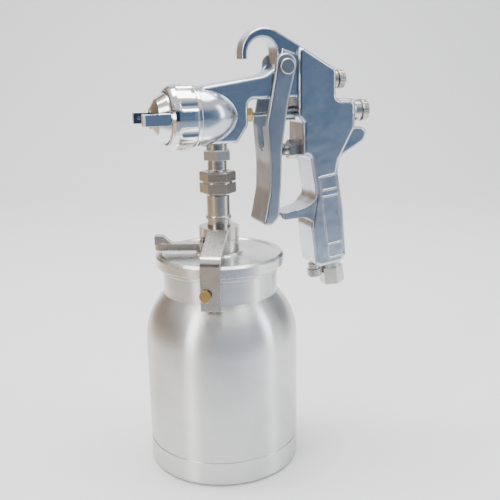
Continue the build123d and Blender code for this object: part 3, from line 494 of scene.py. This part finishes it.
# A colour ramp filled from a list of (place, colour) stops.
def ramp(tree, stops, source):
    made = node(tree, "ValToRGB")
    elements = made.color_ramp.elements
    elements.remove(elements[1])
    for index, (place, color) in enumerate(stops):
        stop = elements[0] if index == 0 else elements.new(place)
        stop.position = place
        stop.color = (*color, 1.0)
    link(tree, source, made.inputs["Fac"])
    return made.outputs["Color"]


# What the metal mirrors: a ring of light and dark panels round the horizon, white overhead
# and a warm tone underneath. Zero on the ring is -X, a quarter is -Y, a half is +X:
# place on it = angle from +X / full turn + a half, moved a little by clouds.
def studioWorld(look):
    world = bpy.data.worlds.new("studio")
    bpy.context.scene.world = world
    world.use_nodes = True
    tree = world.node_tree
    tree.nodes.clear()
    place = node(tree, "TexCoord")
    parts = node(tree, "SeparateXYZ")
    link(tree, place.outputs["Generated"], parts.inputs[0])
    angle = calc(tree, "ARCTAN2", parts.outputs["Y"], parts.outputs["X"])
    turn = calc(tree, "ADD", calc(tree, "DIVIDE", angle, 2 * math.pi), 0.5)
    clouds = node(tree, "TexNoise")
    clouds.inputs["Scale"].default_value = look["cloudScale"]
    clouds.inputs["Detail"].default_value = 3.0
    link(tree, place.outputs["Generated"], clouds.inputs["Vector"])
    centred = calc(tree, "SUBTRACT", clouds.outputs["Fac"], 0.5)
    drift = calc(tree, "MULTIPLY", centred, look["cloudDrift"])
    ring = ramp(tree, look["ring"], calc(tree, "ADD", turn, drift))
    masks = []
    for low, high in (look["overhead"], look["underneath"]):
        limit = node(tree, "MapRange", interpolation_type="SMOOTHSTEP")
        limit.inputs["From Min"].default_value = low
        limit.inputs["From Max"].default_value = high
        link(tree, parts.outputs["Z"], limit.inputs["Value"])
        masks.append(limit.outputs["Result"])
    lidded = mixed(tree, masks[0], ring, look["sky"])
    floored = mixed(tree, masks[1], lidded, look["ground"])
    back = node(tree, "Background")
    back.inputs["Strength"].default_value = look["strength"]
    link(tree, floored, back.inputs["Color"])
    output = node(tree, "OutputWorld")
    link(tree, back.outputs[0], output.inputs["Surface"])


studioLook = {
    "ring": [
        (0.00, (0.10, 0.08, 0.06)), (0.035, (0.14, 0.11, 0.08)), (0.05, (0.95, 0.95, 0.95)),
        (0.085, (0.95, 0.95, 0.95)), (0.10, (0.02, 0.03, 0.05)), (0.20, (0.03, 0.05, 0.09)),
        (0.26, (0.10, 0.16, 0.28)), (0.33, (0.21, 0.31, 0.46)), (0.40, (0.30, 0.41, 0.57)),
        (0.43, (0.90, 0.95, 1.00)), (0.475, (0.95, 0.98, 1.00)), (0.49, (0.04, 0.05, 0.07)),
        (0.56, (0.10, 0.11, 0.13)), (0.60, (0.80, 0.80, 0.80)), (0.76, (0.80, 0.80, 0.80)),
        (0.79, (0.40, 0.30, 0.21)), (0.90, (0.30, 0.22, 0.15)), (1.00, (0.10, 0.08, 0.06)),
    ],
    "cloudScale": 5.0, "cloudDrift": 0.10,
    "overhead": (0.34, 0.62), "sky": (1.0, 1.0, 1.0),
    "underneath": (-0.15, -0.50), "ground": (0.30, 0.23, 0.17),
    "strength": 0.9,
}
sweepLook = {
    "front": 1.6, "back": 1.0, "left": 1.5, "right": 1.5,
    "bendRadius": 0.5, "bendSteps": 24, "height": 2.4,
}
paperLook = {
    "color": (0.90, 0.90, 0.90), "roughness": 0.6, "mottle": 3.0, "mottleDepth": 0.97,
    "opening": 0.352,
    "frontEdge": {"reach": (-0.13, -0.34), "color": (0.19, 0.24, 0.32)},
    "leftEdge": {"reach": (-0.24, -0.42), "color": (0.40, 0.29, 0.20)},
}
lightLooks = {
    "topBox": {
        "place": (0.1, 0.1, 1.3), "size": (1.2, 0.5), "power": 20.0, "color": (1.0, 1.0, 1.0),
    },
    "leftBox": {
        "place": (-1.1, -0.5, 0.7), "size": (0.3, 1.1), "power": 7.0, "color": (1.0, 0.98, 0.95),
    },
    "rightBox": {
        "place": (1.1, -0.7, 0.6), "size": (0.25, 1.0), "power": 5.0, "color": (0.90, 0.95, 1.0),
    },
    "wallBox": {
        "place": (-0.4, 0.2, 1.7), "size": (1.2, 0.6), "power": 24.0, "color": (1.0, 1.0, 1.0),
        "aim": (0.45, 1.2, 0.5),  # a light without one looks at the middle of the whole
    },
}
viewLook = {
    "azimuth": -20.5, "elevation": 7.5, "roll": -1.0,
    "gunMiddle": (0.022, 0.0, 0.207), "distance": 0.49,
    "aim": (0.022, 0.0, 0.146), "span": 0.345, "sensor": 36.0,
}

viewTurn = math.radians(viewLook["azimuth"])
viewAhead = Vector((-math.sin(viewTurn), math.cos(viewTurn), 0.0))
studioWorld(studioLook)
paperSweep(sweepLook, viewAhead, paperMaterial(paperLook, viewAhead))
middle = (lowest + highest) / 2
for name, look in lightLooks.items():
    areaLight(name, look, Vector(look["aim"]) if "aim" in look else middle)


# camera
# It stands at the gun's own viewing angle and distance, and is aimed at the middle of the
# whole. Focal length = sensor width * distance / width of view there.
def placeCamera(view):
    aim = Vector(view["aim"])
    turn, tip, roll = (math.radians(view[name]) for name in ("azimuth", "elevation", "roll"))
    line = Vector((-math.sin(turn) * math.cos(tip), math.cos(turn) * math.cos(tip), -math.sin(tip)))
    eye = Vector(view["gunMiddle"]) - line * view["distance"]
    ahead = (aim - eye).normalized()
    right = ahead.cross(Vector((0, 0, 1))).normalized()
    up = right.cross(ahead)
    across = right * math.cos(roll) + up * math.sin(roll)
    above = up * math.cos(roll) - right * math.sin(roll)
    lens = bpy.data.cameras.new("camera")
    lens.sensor_width = view["sensor"]
    lens.lens = lens.sensor_width * (aim - eye).length / view["span"]
    holder = bpy.data.objects.new("camera", lens)
    bpy.context.scene.collection.objects.link(holder)
    turned = Matrix((across, above, -ahead)).transposed()
    holder.matrix_world = Matrix.Translation(eye) @ turned.to_4x4()
    bpy.context.scene.camera = holder


placeCamera(viewLook)
print("studio done")
